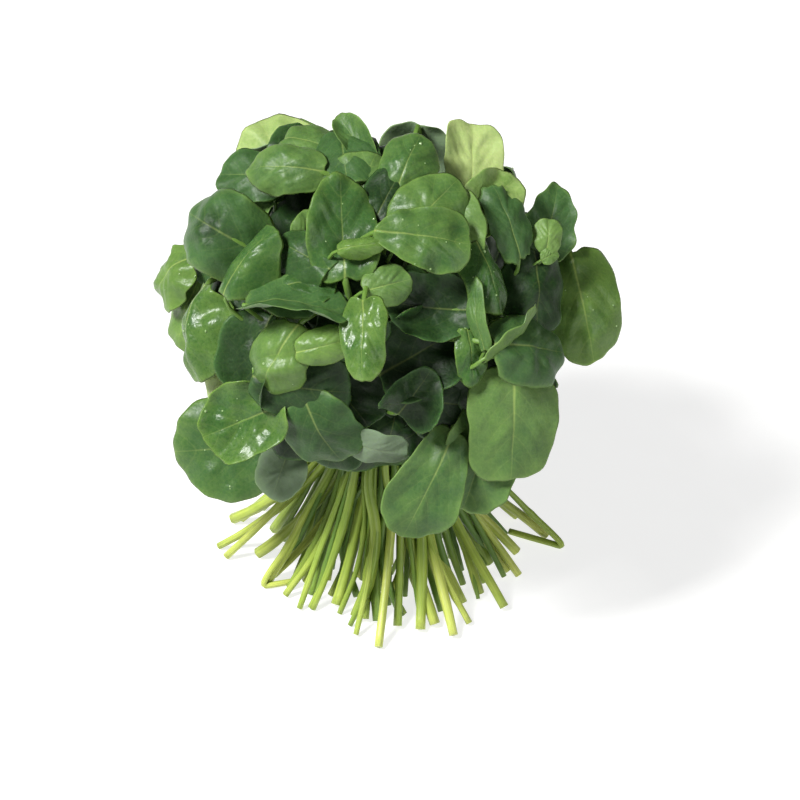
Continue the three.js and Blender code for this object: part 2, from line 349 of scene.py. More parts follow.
bladeDefaults = {
    "cup": -0.25,    # how far the sides lift, as a share of half the width
    "arch": 0.22,    # how far tip and base bend down, as a share of half the length
    "fold": 0.0,     # a crease along the midrib
    "hook": 0.0,     # the tip bending down by itself
    "twist": 0.0,
    "curl": 0.0,     # the margin alone rolling up, or down if less than 0
    "wave": 0.085,   # waves of the margin
    "waves": 4,
    "full": 2.3,     # fullness of the outline, which is an ellipse at 2 and squarer above
    "teeth": 0.010,
    "toothCount": 15,
    "taper": 0.0,    # wider at the base than at the tip
    "point": 0.0,    # a drawn-out tip
    "notch": 0.10,   # the bay where the petiole joins
    "ragged": (0.035, 0.026),  # how far three wide bulges of the outline stand out, and five narrower ones
    "puff": 0.15 * mm,
    "rumple": 0.45 * mm,
    "tone": 0.42,
    "wet": 0.3,
    # the shade patch is painted shade: it darkens the middle of a blade as if it lay in shadow
    "paintedShadePatch": 0.0,    # how much darker the middle of the blade is
    "thick": 0.45 * mm,
    "rings": 13,
    "sides": 60,
    "seed": 0,
}


# Where points of a blade lie. Each is q of the way from the blade's middle to its margin, at the angle turn
# from the tip. Height above the flat blade is the sum of: cup times across squared, less arch times along
# squared, a crease, a hook past the middle, a twist, a curl and waves that grow to the margin, puffs between
# the side veins, a groove along the midrib, and a rumple of six crossing waves 7 to 16 mm long.
def bladePlaces(at, look, q, turn):
    rng = np.random.default_rng(look["seed"])
    phase = rng.uniform(0, 2 * np.pi, 6)
    tipTurn = np.abs(np.arctan2(np.sin(turn), np.cos(turn)))
    power, (wide, narrow) = look["full"], look["ragged"]
    outline = (np.abs(np.cos(turn)) ** power + np.abs(np.sin(turn)) ** power) ** (-1 / power)
    reach = outline + look["teeth"] * np.cos(look["toothCount"] * turn + phase[0]) * q ** 8
    reach = reach + (wide * np.cos(3 * turn + phase[1]) + narrow * np.cos(5 * turn + phase[2])) * q ** 3
    along = q * reach * np.cos(turn)
    across = q * reach * np.sin(turn)
    along = along + look["point"] * q ** 2 * np.exp(-(tipTurn / 0.35) ** 2)
    along = along + look["notch"] * q ** 2 * np.exp(-((np.pi - tipTurn) / 0.32) ** 2)
    across = across * (1 - look["taper"] * along)
    share = (along + 1) / 2
    halfWidth, halfLength = at["width"] / 2, at["length"] / 2
    height = halfWidth * look["cup"] * across ** 2
    height = height - halfLength * look["arch"] * along ** 2
    height = height + halfWidth * look["fold"] * (np.sqrt(across ** 2 + 0.012) - 0.11)
    height = height - halfLength * look["hook"] * np.maximum(along, 0) ** 2.5
    height = height + halfWidth * look["twist"] * across * along
    height = height + halfWidth * look["curl"] * q ** 8
    height = height + halfWidth * look["wave"] * q ** 3 * np.sin(look["waves"] * turn + phase[3])
    height = height + halfWidth * look["wave"] * 0.6 * q ** 2 * np.sin((look["waves"] + 4) * turn + phase[4])
    step = veins["pairs"] * (share - veins["lift"] * np.abs(across) ** 1.4)
    offRib = 1 - np.exp(-(across / 0.18) ** 2)
    height = height - look["puff"] * np.cos(2 * np.pi * step) * offRib * (1 - q ** 4)
    height = height - 1.6 * look["puff"] * np.exp(-(across / 0.07) ** 2) * (1 - np.maximum(along, 0) ** 2)
    heading, length = rng.uniform(0, np.pi, 6), rng.uniform(7, 16, 6) * mm
    start = rng.uniform(0, 2 * np.pi, 6)
    down = (along * halfLength)[..., None] * np.cos(heading)
    down = down + (across * halfWidth)[..., None] * np.sin(heading)
    height = height + look["rumple"] * np.cos(2 * np.pi * down / length + start).sum(-1) / np.sqrt(6)
    base = look["notch"] - 1
    atBase = -halfLength * look["arch"] * base ** 2
    alongMetres = (along - base) / (2 - look["notch"]) * at["length"]
    places = (at["base"] + alongMetres[..., None] * at["tip"] + (across * halfWidth)[..., None] * at["side"]
              + (height - atBase)[..., None] * at["normal"])
    return places, np.stack([across, share, q], -1)


# A blade as one closed surface: rings run from the middle of its upper side out to the margin and back
# underneath, and the two sides stand half the thickness off the blade's own surface. The shade patch is
# painted
# shade: it darkens the middle by a bell curve over the way out, as if the middle lay in shadow.
def bladeBody(at, look):
    rings, sides = look["rings"], look["sides"]
    outward = 1 - (1 - np.arange(1, rings + 1) / rings) ** 1.25
    q = np.concatenate([outward, outward[-2::-1]])[:, None] + np.zeros(sides)
    skin = np.concatenate([np.ones(rings - 1), [0], -np.ones(rings - 1)])[:, None]
    turn = np.linspace(0, 2 * np.pi, sides, endpoint=False) + np.zeros_like(q)
    places, coords = bladePlaces(at, look, q, turn)
    off = (skin * look["thick"] / 2 * (1 - 0.6 * q ** 6))[..., None] * at["normal"]
    middle, middleCoords = bladePlaces(at, look, np.zeros(2), np.zeros(2))
    lift = look["thick"] / 2 * at["normal"]
    place = np.concatenate([middleCoords[:1], coords.reshape(-1, 3), middleCoords[:1]])
    upper = np.zeros(rings, int)
    # painted shade: the shade patch darkens the middle of the blade as if it lay in shadow
    tone = look["tone"] - look["paintedShadePatch"] * np.exp(-(place[:, 2] / 0.55) ** 2)
    return {
        "rings": places + off,
        "poles": [middle[0] + lift, middle[0] - lift],
        "kinds": np.concatenate([upper, upper + 1]),
        "fields": {"place": place, "tone": tone, "wet": np.full(len(place), float(look["wet"]))},
    }


# Evenly spaced points on a smooth line through the given ones: a cubic between each two, whose slopes at the
# ends are those of the points around them
def smoothPath(points, count):
    points = np.asarray(points, float)
    reach = np.concatenate([[0], np.cumsum(np.linalg.norm(np.diff(points, axis=0), axis=1))])
    slopes = np.gradient(points, reach, axis=0)
    at = np.linspace(0, reach[-1], count)
    k = np.clip(np.searchsorted(reach, at, "right") - 1, 0, len(points) - 2)
    span = (reach[k + 1] - reach[k])[:, None]
    s = (at - reach[k])[:, None] / span
    return ((1 + 2 * s) * (1 - s) ** 2 * points[k] + s * (1 - s) ** 2 * span * slopes[k]
            + s * s * (3 - 2 * s) * points[k + 1] + s * s * (s - 1) * span * slopes[k + 1])


# A tube along a path: at each step a ring of points goes round it at the radius there, times a ripple of
# five shallow flutes that turns slowly on the way up
def tubeRings(path, radius, sides, flute):
    tangent = unit(np.gradient(path, axis=0))
    flat = np.linalg.svd(path - path.mean(0))[2][-1]
    side = unit(flat - (tangent @ flat)[:, None] * tangent)
    other = np.cross(tangent, side)
    turn = np.linspace(0, 2 * np.pi, sides, endpoint=False)
    share = np.linspace(0, 1, len(path))[:, None]
    ripple = (1 + flute * np.cos(5 * turn + 2.5 * share)) * radius[:, None]
    rings = path[:, None] + ripple[..., None] * (np.cos(turn)[:, None] * side[:, None]
                                                 + np.sin(turn)[:, None] * other[:, None])
    grain = np.stack([np.cos(turn) + 0 * share, np.sin(turn) + 0 * share, share + 0 * turn], -1)
    return rings, grain, tangent


stemDefaults = {
    "foot": 2.0 * mm,        # radii at the cut, just below the blade and at the midrib's end
    "neck": 1.05 * mm,
    "rib": 0.28 * mm,
    "neckShare": 0.85,       # how far up the neck is
    "nodes": (),             # where side stalks leave, as shares of the length
    "swell": 0.18, "nodeLength": 1.5 * mm,
    "hollow": 0.5,           # the hollow's share of the foot's radius
    "recess": 3 * mm,        # how deep the hollow shows
    "flute": 0.07,
    "uneven": 0.06,
    "pale": 0.0, "green": 1.0,  # how green it is at the foot and at the top
    "seed": 0,
}


# A stem as one closed tube, with a hollow in its cut foot. The radius falls from foot to neck, bulging a
# little between, then to the rib. Two slow waves make it uneven, and it swells by a bell curve at each node.
def stemBody(path, sides, **given):
    look = {**stemDefaults, **given}
    rings = len(path)
    share = np.linspace(0, 1, rings)
    start = np.random.default_rng(look["seed"]).uniform(0, 2 * np.pi, 2)
    radius = np.interp(share, [0, look["neckShare"], 1], [look["foot"], look["neck"], look["rib"]])
    bulge = (look["foot"] - look["neck"]) * 0.25 * np.sin(np.pi * np.clip(share / look["neckShare"], 0, 1))
    waves = np.sin(14 * share + start[0]) + np.sin(31 * share + start[1])
    radius = (radius + bulge) * (1 + look["uneven"] * waves)
    for nodeAt in look["nodes"]:
        bell = np.exp(-((share - nodeAt) * lengthOf(path) / look["nodeLength"]) ** 2)
        radius = radius * (1 + look["swell"] * bell)
    outer, grain, tangent = tubeRings(path, radius, sides, look["flute"])
    grain[..., 2] = look["pale"] + (look["green"] - look["pale"]) * grain[..., 2]
    middle = path[0]
    rim = middle + (outer[0] - middle) * look["hollow"]
    deep = look["recess"] * tangent[0]
    allRings = np.concatenate([[rim + deep], [rim], outer])
    allGrain = np.concatenate([grain[:1], grain[:1], grain]).reshape(-1, 3)
    return {
        "rings": allRings,
        "poles": [middle + deep, path[-1] + tangent[-1] * radius[-1] * 0.5],
        "kinds": np.concatenate([[1, 1, 1], np.zeros(rings, int)]),
        "fields": {"grain": np.concatenate([[[0, 0, 0]], allGrain, [[0, 0, look["green"]]]])},
    }


# Blades and stems of the frame

# A node's separate corner points
def nodePoints(name):
    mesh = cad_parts[name].data
    flat = np.zeros(len(mesh.vertices) * 3)
    mesh.vertices.foreach_get("co", flat)
    return np.unique(flat.reshape(-1, 3).round(6), axis=0)


# The middle line of a bent rod: each corner point stands for the mean of its ring, which is all that lies
# within reach of it, and the ring middles are taken in order from the foot, each time the nearest one left
def rodLine(name, reach=4.9 * mm):
    points = nodePoints(name)
    near = np.linalg.norm(points[:, None] - points[None], axis=2) < reach
    left = near @ points / near.sum(1, keepdims=True)
    line = [left[left[:, 2].argmin()]]
    while True:
        left = left[np.linalg.norm(left - line[-1], axis=1) > 3 * mm]
        if not len(left):
            return np.array(line)
        line.append(left[np.linalg.norm(left - line[-1], axis=1).argmin()])


# A blade's frame from its node: the base is the corner nearest the stem's end, the tip the one farthest from
# the base, and the normal the direction in which the blade is thinnest, on the side that it bulges to
def bladeFrame(name, stemEnd):
    points = nodePoints(name)
    base = points[np.linalg.norm(points - stemEnd, axis=1).argmin()]
    end = points[np.linalg.norm(points - base, axis=1).argmax()]
    tip = unit(end - base)
    thin = np.linalg.svd(points - points.mean(0))[2][-1]
    thin = unit(thin - (thin @ tip) * tip)
    normal = thin * np.sign((points.mean(0) - (base + end) / 2) @ thin)
    side = np.cross(tip, normal)
    width = np.ptp(points @ side)
    return {"base": base, "tip": tip, "normal": normal, "side": side,
            "length": np.linalg.norm(end - base), "width": width}


# A blade's frame with its tip lifted by pitch and the blade turned about its midrib by roll, in degrees
def leaned(at, pitch=0.0, roll=0.0):
    tip = turned(at["tip"], at["side"], pitch)
    normal = turned(at["normal"], at["side"], pitch)
    side = turned(at["side"], tip, roll)
    return {**at, "tip": tip, "normal": turned(normal, tip, roll), "side": side}


# A blade's frame on the crown's leaning front face: x to the right and y up the face in millimetres, lift
# off the shell, turn of the tip clockwise from up, and facing, which goes from 0, square to the shell, to 1,
# straight out of the face
def faceFrame(x, y, lift, turn, facing, length, width, pitch=0.0, roll=0.0):
    depth = np.sqrt(max(0.0, bunch["shell"] ** 2 - (x * mm) ** 2 - (y * mm) ** 2))
    point = x * mm * faceRight + y * mm * faceUp + depth * faceOut
    normal = unit((1 - facing) * unit(point) + facing * faceOut)
    angle = np.radians(turn)
    way = np.sin(angle) * faceRight + np.cos(angle) * faceUp
    return blankFrame(crownMiddle + point + normal * lift * mm, way, normal, length, width, pitch, roll)


# A blade's frame about its middle point, with the tip made square to the normal
def blankFrame(middle, way, normal, length, width, pitch=0.0, roll=0.0):
    tip = unit(way - (way @ normal) * normal)
    at = {"base": middle, "tip": tip, "normal": normal, "side": np.cross(tip, normal),
          "length": length * mm, "width": width * mm}
    at = leaned(at, pitch, roll)
    at["base"] = middle - at["tip"] * length * mm / 2
    return at


# The line of a blade's midrib, from the petiole to two thirds of the way to the tip. It lies below the blade
# by its own radius, which falls from the petiole's to that of the midrib's end.
def ribLine(at, look, neck=stemDefaults["neck"]):
    along = np.array([-0.97 + look["notch"], -0.7, -0.4, -0.05, 0.3])
    places, _ = bladePlaces(at, look, np.abs(along), np.where(along < 0, np.pi, 0.0))
    radius = np.linspace(neck, stemDefaults["rib"], len(along))[:, None]
    return places - at["normal"] * (look["thick"] / 4 + radius)


# Cuts a path where its end would reach below the surface: the cut is square to the stem, and its low edge
# touches the surface
def standing(points, radius):
    fine = smoothPath(points, 400)
    slope = unit(fine[8] - fine[0])
    drop = radius * np.sqrt(max(0.0, 1 - slope[2] ** 2))
    return fine[fine[:, 2] >= drop][::6]


# Blades of the frame that show in front, by number. The others get a random look.
# Blades 3, 12, 13 and 18 carry painted shade: their low tones and shade patches darken them where they lie
# in the shadow of the blades above.
frontLooks = {
    1: {"tone": 0.40, "wet": 0.5, "cup": 0.08, "arch": 0.06, "notch": 0.14, "curl": -0.08,
        "rumple": 0.3 * mm},
    2: {"tone": 0.44, "wet": 1.0, "cup": 0.30, "arch": -0.15, "rumple": 0.9 * mm, "pitch": 8, "notch": 0.0},
    3: {"tone": 0.28, "wet": 0.2, "paintedShadePatch": 0.12, "cup": -0.30, "arch": 0.30, "taper": -0.05,
        "pitch": -8, "notch": 0.0},
    4: {"tone": 0.43, "wet": 0.1, "cup": 0.20, "fold": -0.15, "twist": 0.30, "taper": -0.24, "hook": -0.14},
    5: {"tone": 0.52, "wet": 0.1, "cup": -0.16, "arch": 0.14, "full": 3.0, "wave": 0.04, "notch": 0.04},
    6: {"tone": 0.36, "wet": 0.2, "cup": -0.32, "arch": 0.24, "point": 0.06, "curl": -0.12, "roll": -14},
    7: {"tone": 0.56, "wet": 0.8, "cup": -0.50, "arch": 0.36, "full": 2.5, "rumple": 0.6 * mm, "roll": 6},
    8: {"tone": 0.36, "wet": 0.1, "cup": 0.25, "teeth": 0.045, "toothCount": 9, "point": 0.16,
        "taper": 0.12},
    9: {"tone": 0.90, "wet": 0.1, "cup": 0.16, "arch": 0.05, "taper": -0.08, "full": 3.0,
        "teeth": 0.012, "roll": 12},
    10: {"tone": 0.42, "wet": 0.6, "cup": -0.50, "arch": 0.40, "taper": -0.08, "pitch": 10},
    11: {"tone": 0.45, "wet": 0.6, "cup": -0.25, "arch": 0.26, "taper": -0.20, "notch": 0.0, "curl": 0.10},
    12: {"tone": 0.40, "wet": 0.8, "paintedShadePatch": 0.12, "cup": 0.05, "fold": 0.20, "arch": -0.04,
         "twist": -0.45, "roll": 22, "curl": -0.1},
    13: {"tone": 0.40, "wet": 0.15, "paintedShadePatch": 0.26, "cup": -0.40, "arch": 0.95, "curl": -0.10,
         "rumple": 0.8 * mm, "pitch": 6},
    14: {"tone": 0.56, "wet": 0.8, "cup": -0.45, "arch": 0.40, "wave": 0.08, "rumple": 0.9 * mm,
         "notch": 0.0},
    15: {"tone": 0.46, "wet": 1.0, "cup": -0.75, "arch": 0.36, "fold": -0.20, "rumple": 0.9 * mm,
         "roll": 10},
    16: {"tone": 0.52, "wet": 0.6, "cup": -0.50, "arch": 0.46, "curl": -0.15, "rumple": 0.8 * mm,
         "notch": 0.0},
    17: {"tone": 0.48, "wet": 1.0, "cup": -0.26, "arch": 0.10, "taper": 0.08, "rumple": 0.8 * mm,
         "notch": 0.22, "pitch": 16, "roll": 14},
    18: {"tone": 0.18, "wet": 0.1, "paintedShadePatch": 0.16, "cup": 0.35, "arch": -0.25, "teeth": 0.015, "roll": 8},
    19: {"tone": 0.38, "wet": 1.0, "cup": -0.75, "arch": 0.20, "roll": -12},
    20: {"tone": 0.48, "wet": 0.3, "cup": -0.50, "arch": 0.44, "point": 0.08, "taper": 0.05, "roll": -8},
    28: {"tone": 0.40, "wet": 0.4, "cup": -0.3, "arch": 0.3, "pitch": -30},
}
# How far the feet of the stems stand out past those of the frame, which are trimmed flush, how much a stem
# bows below the tie, and the radii of its foot
splay = {"more": 0.07, "power": 2.0, "bow": 1.3 * mm, "thinFoot": 1.35 * mm, "thickFoot": 2.25 * mm}


# The look of a blade that no one set by hand, between an oldest and a youngest tone
def wildLook(rng, oldest, youngest):
    return {"tone": rng.uniform(oldest, youngest), "wet": rng.uniform(0.1, 0.8),
            "cup": rng.uniform(-0.6, 0.3), "arch": rng.uniform(0.1, 0.4),
            "twist": rng.uniform(-0.3, 0.3), "curl": rng.uniform(-0.15, 0.15)}


stemLines, placedLooks = {}, {}
bladeCount = sum(name.startswith("leaf_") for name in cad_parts)
for k in range(1, bladeCount + 1):
    stemName, leafName = f"stem_{k:02d}", f"leaf_{k:02d}"
    rng = np.random.default_rng(100 + k)
    line = rodLine(stemName)
    at = bladeFrame(leafName, line[-1])
    wild = wildLook(rng, 0.25, 0.5)
    look = {**bladeDefaults, "rings": 16, "sides": 76, "seed": k, **frontLooks.get(k, wild)}
    at = leaned(at, look.get("pitch", 0), look.get("roll", 0))
    addPiece(f"blade_{k:02d}", [bladeBody(at, look)], [leafAbove, leafBelow], [leafName])
    placedLooks[k] = {**look, "at": at}
    rib = ribLine(at, look)
    rise = np.clip(line[:, 2:] / waistHeight, 0, 1)
    line[:, :2] += splay["more"] * (1 - rise) ** splay["power"] * (line[:, :2] - axisXY)
    line[:, :2] += rng.normal(0, splay["bow"], 2) * np.sin(np.pi * rise)
    foot = rng.uniform(splay["thinFoot"], splay["thickFoot"])
    path = smoothPath(np.concatenate([standing(line, foot), rib]), 50)
    body = stemBody(path, 14, foot=foot, neckShare=1 - lengthOf(rib) / lengthOf(path), seed=k,
                    nodes=rng.uniform(0.05, 0.65, 3), pale=rng.uniform(-0.05, 0.3),
                    green=rng.uniform(0.8, 1.2))
    addPiece(f"sprig_stem_{k:02d}", [body], [stemSkin, cutFlesh], [stemName])
    stemLines[k] = line
print("blades and stems of the frame done")


# Blades that the frame leaves out: the smaller ones of the front, listed one by one. Each has its x, y,
# lift, turn, facing, length and width as faceFrame takes them, then its pitch and roll and what its look has
# of its own.
# The ones with tones near 0, sunk deep into the crown, are painted shade: dark blades where the gaps between
# blades lie in shadow.
fillBlades = [
    (-50, 50, 1, 285, 0.6, 26, 22, {"tone": 0.30, "wet": 0.2}),
    (-41, 61, -6, 330, 0.7, 34, 34, {"tone": 0.84, "wet": 0.1}),
    (-56, 53, -8, 320, 0.3, 22, 16, {"tone": 0.10}),
    (-36, 61, 0, 10, 0.4, 24, 15, {"tone": 0.14, "roll": 35}),
    (-26, 61, 0, 120, 0.2, 26, 22, {"tone": 0.50, "pitch": -15}),
    (-11, 62, 0, 330, 0.7, 26, 11, {"tone": 0.46, "cup": 0.9, "wet": 0.2}),
    (-15, 56, -1, 170, 0.4, 30, 28, {"tone": 0.34, "wet": 0.2, "pitch": 14}),
    (-9, 46, -6, 20, 0.6, 30, 28, {"tone": 0.50, "wet": 0.2}),
    (-46, 17, 8, 42, 0.4, 31, 19, {"tone": 0.40, "cup": -1.0, "wet": 0.8, "roll": -15}),
    (-33, 31, -8, 20, 0.1, 20, 12, {"tone": 0.56, "roll": 60}),
    (-29, 20, 0, 300, 0.4, 26, 20, {"tone": 0.26, "cup": -0.5, "pitch": -18}),
    (-30, 0, 6, 97, 0.5, 40, 30, {"tone": 0.36, "roll": -66, "cup": 0.3, "wet": 0.2, "wave": 0.03}),
    (-31, 9, -2, 80, 0.4, 28, 26, {"tone": 0.28, "wet": 0.9, "roll": -30}),
    (-46, -19, -4, 195, 0.4, 38, 28, {"tone": 0.16, "cup": 0.6, "roll": 24}),
    (-61, -26, -4, 190, 0.5, 22, 18, {"tone": 0.82, "wet": 0.2}),
    (-30, -27, -2, 100, 0.4, 36, 28, {"tone": 0.12, "wet": 0.1, "pitch": -14}),
    (-39, -59, -2, 200, 0.9, 20, 19, {"tone": 0.36, "under": 1}),
    (-3, -51, -4, 100, 0.2, 23, 14, {"tone": 0.22, "under": 1}),
    (33, -53, 1, 192, 0.7, 43, 29, {"tone": 0.46, "wet": 0.1, "cup": 0.25, "teeth": 0.02}),
    (57, 27, 10, 5, 0.8, 13, 11, {"tone": 0.62, "wet": 0.1}),
    (58, 20, 8, 60, 0.8, 7, 6, {"tone": 0.60, "wet": 0.1}),
    (43, 32, 3, 340, 0.7, 29, 17, {"tone": 0.32, "teeth": 0.04, "wet": 0.1, "roll": 14}),
    (37, 39, -1, 45, 0.6, 30, 21, {"tone": 0.72, "cup": 0.3, "point": 0.12, "wet": 0.2}),
    (4, 59, -4, 75, 0.5, 19, 13, {"tone": 0.26, "cup": -0.5}),
    (1, 42, -2, 25, 0.4, 28, 19, {"tone": 0.10, "wet": 0.2}),
    (15, 35, 4, 42, 0.5, 32, 25, {"tone": 0.48, "cup": -0.3, "wet": 0.6}),
    (28, 30, 0, 170, 0.3, 26, 18, {"tone": 0.56, "roll": 45, "wet": 0.2}),
    (1, 9, 1, 75, 0.5, 18, 15, {"tone": 0.52, "cup": -0.5, "puff": 0.3 * mm, "wet": 0.2, "pitch": -10}),
    (33, -1, 2, 350, 0.3, 27, 9, {"tone": 0.46, "roll": -60, "wet": 0.2}),
    (15, -15, -16, 60, 0.5, 38, 32, {"tone": 0.06, "cup": 0.5, "wet": 0.1}),
    (43, -8, 4, 52, 0.2, 28, 15, {"tone": 0.56, "roll": 55}),
    (55, 7, -2, 180, 0.5, 32, 26, {"tone": 0.12, "cup": -0.5, "wet": 0.1}),
    (31, -17, -2, 170, 0.3, 21, 12, {"tone": 0.40, "wet": 0.9}),
    (11, -31, -8, 30, 0.4, 23, 22, {"tone": 0.10, "cup": 0.9, "wet": 0.2, "pitch": 20}),
    (-13, -6, -6, 250, 0.3, 26, 24, {"tone": 0.12}),
    (-17, -34, -16, 150, 0.3, 32, 30, {"tone": 0.02}),
    (4, -44, -20, 190, 0.4, 27, 24, {"tone": 0.14}),
    (26, -36, -12, 100, 0.4, 32, 30, {"tone": 0.04}),
    (16, -46, -18, 230, 0.5, 28, 26, {"tone": 0.0}),
    (38, -29, -8, 150, 0.4, 28, 22, {"tone": 0.08}),
    (0, -28, -22, 10, 0.4, 30, 28, {"tone": 0.0}),
    (-20, -52, -14, 200, 0.5, 24, 24, {"tone": 0.20}),
    (-38, -44, -14, 180, 0.5, 30, 30, {"tone": 0.04}),
    (-75, 1, -2, 212, 0.5, 30, 24, {"tone": 0.60}),
    (-21, -12, 7, 76, 0.4, 20, 14, {"tone": 0.58, "cup": -0.6, "wet": 0.7}),
    (-8, 21, 8, 84, 0.3, 17, 8, {"tone": 0.54, "cup": -1.0, "wet": 1.0}),
    (-38, 37, -20, 200, 0.3, 36, 34, {"tone": 0.02}),
    (-10, 12, -8, 90, 0.4, 26, 24, {"tone": 0.10, "wet": 0.0}),
    (-61, 8, -8, 200, 0.3, 28, 24, {"tone": 0.10}),
]

# The back, the sides and the top are filled by the golden angle, in an outer layer, an inner one all round,
# and a deep one. A layer has its number of blades, its nearest and farthest distance from the crown's middle
# as shares of the shell, how much darker its tones are, which is painted shade for the inner and deep layers
# that lie in the crown's shadow, and the numbers of those left out, which would stick out.
backFill = {"length": 34, "width": 29, "low": -0.62, "rise": 1.55, "clearOfFront": 0.35}
layers = {
    "outer": {"count": 36, "near": 0.84, "far": 0.93, "darker": 0.0, "without": (13, 29, 32)},
    "inner": {"count": 32, "near": 0.61, "far": 0.79, "darker": 0.22},
    "deep": {"count": 24, "near": 0.36, "far": 0.52, "darker": 0.30},
}

# Radii of a petiole, and the reach of the stems that it may leave from, as steps out of sixty
petiole = {"start": 0.9 * mm, "end": 0.7 * mm, "rings": 18, "sides": 8, "from": 18, "to": 52}
stemPaths = [smoothPath(line, 60) for line in stemLines.values()]
allStemPoints = np.concatenate([path[petiole["from"]:petiole["to"]] for path in stemPaths])
allStemWays = np.concatenate([unit(np.gradient(path, axis=0))[petiole["from"]:petiole["to"]]
                              for path in stemPaths])


# A petiole from a stem to the blade's base: a cubic that leaves along the stem and arrives partly along the
# tip and partly outward. It starts at the stem point nearest to a place well below the blade and further in.
def petioleBody(at, look):
    base = at["base"]
    wanted = base + 0.42 * (crownMiddle - base) - np.array([0, 0, 14 * mm])
    k = np.linalg.norm(allStemPoints - wanted, axis=1).argmin()
    start, way = allStemPoints[k], allStemWays[k]
    reach = np.linalg.norm(base - start)
    arrive = unit(0.6 * at["tip"] + 0.7 * unit(base - crownMiddle))
    s = np.linspace(0, 1, 12)[:, None]
    first, second = start + way * reach * 0.35, base - arrive * reach * 0.35
    curve = ((1 - s) ** 3 * start + 3 * s * (1 - s) ** 2 * first
             + 3 * s * s * (1 - s) * second + s ** 3 * base)
    rib = ribLine(at, look, petiole["end"])
    path = smoothPath(np.concatenate([curve[:-1], rib]), petiole["rings"])
    return stemBody(path, petiole["sides"], foot=petiole["start"], neck=petiole["end"], neckShare=0.7,
                    pale=0.7)


# A blade that no node stands for, and its petiole. One marked under shows its pale side.
def addLooseBlade(number, at, look):
    body = bladeBody(at, look)
    if look.get("under"):
        body["kinds"] = 1 - body["kinds"]
    addPiece(f"blade_{number:02d}", [body], [leafAbove, leafBelow])
    petioles.append(petioleBody(at, look))


petioles = []
number = bladeCount
for row in fillBlades:
    number += 1
    own = row[-1]
    at = faceFrame(*row[:-1], own.get("pitch", 0), own.get("roll", 0))
    addLooseBlade(number, at, {**bladeDefaults, "rings": 12, "sides": 56, "seed": number, **own})

for depth, (layer, place) in enumerate(layers.items()):
    rng = np.random.default_rng(5 + depth)
    for k in range(place["count"]):
        height = backFill["low"] + backFill["rise"] * (k + 0.5) / place["count"]
        angle = golden * k + 1.3 * depth
        flat = np.sqrt(1 - height ** 2)
        outward = np.array([flat * np.cos(angle), flat * np.sin(angle), height])
        if layer == "outer" and outward @ faceOut > backFill["clearOfFront"]:
            continue
        number += 1
        reach = bunch["shell"] * rng.uniform(place["near"], place["far"])
        way = np.array([outward[0], outward[1], -0.9]) + rng.normal(0, 0.45, 3)
        size = rng.uniform(0.7, 1.1)
        at = blankFrame(crownMiddle + outward * reach, way, unit(outward + rng.normal(0, 0.28, 3)),
                        backFill["length"] * size, backFill["width"] * size)
        look = {**bladeDefaults, "rings": 10, "sides": 44, "seed": number,
                **wildLook(rng, 0.25 - place["darker"], 0.55 - place["darker"])}
        if k not in place.get("without", ()):
            addLooseBlade(number, at, look)
addPiece("petioles", petioles, [stemSkin, cutFlesh])
print("loose blades and petioles done:", number, "blades")


# Side leaflets stand in pairs on the upper part of each stem, on short stalks
leaflets = {"pairs": (0.60, 0.70, 0.80), "length": 17, "width": 14, "stalk": 5 * mm}
leafletStalk = {"foot": 0.6 * mm, "neck": 0.5 * mm, "rib": 0.2 * mm, "recess": 0.4 * mm, "pale": 0.6}
for k, line in stemLines.items():
    rng = np.random.default_rng(300 + k)
    path = smoothPath(line, 100)
    ways = unit(np.gradient(path, axis=0))
    bodies, stalks = [], []
    for share in leaflets["pairs"]:
        i = int(100 * (share + rng.uniform(-0.03, 0.03)))
        outward = unit(path[i] - crownMiddle)
        sideways = unit(np.cross(ways[i], outward))
        for sign in (-1, 1):
            if rng.uniform() < 0.2:
                continue
            tip = unit(sign * sideways + 0.5 * ways[i] + rng.normal(0, 0.2, 3))
            size = rng.uniform(0.65, 1.15) * (0.7 + 0.5 * share)
            base = path[i] + tip * leaflets["stalk"] * rng.uniform(0.6, 1.2)
            normal = unit(outward + 0.4 * ways[i] + rng.normal(0, 0.3, 3))
            length = leaflets["length"] * size
            at = blankFrame(base + tip * length * mm / 2, tip, normal, length, leaflets["width"] * size)
            look = {**bladeDefaults, "rings": 7, "sides": 32, "seed": 1000 + 10 * k + len(bodies),
                    "tone": rng.uniform(0.25, 0.6), "cup": rng.uniform(-0.3, 0.3), "rumple": 0.2 * mm}
            bodies.append(bladeBody(at, look))
            half = (path[i] + at["base"]) / 2
            stalk = smoothPath(np.array([path[i], half, *ribLine(at, look, leafletStalk["neck"])[:2]]), 8)
            stalks.append(stemBody(stalk, 6, **leafletStalk))
    addPiece(f"leaflets_{k:02d}", bodies, [leafAbove, leafBelow])
    addPiece(f"leaflet_stalks_{k:02d}", stalks, [stemSkin, cutFlesh])
print("side leaflets done")


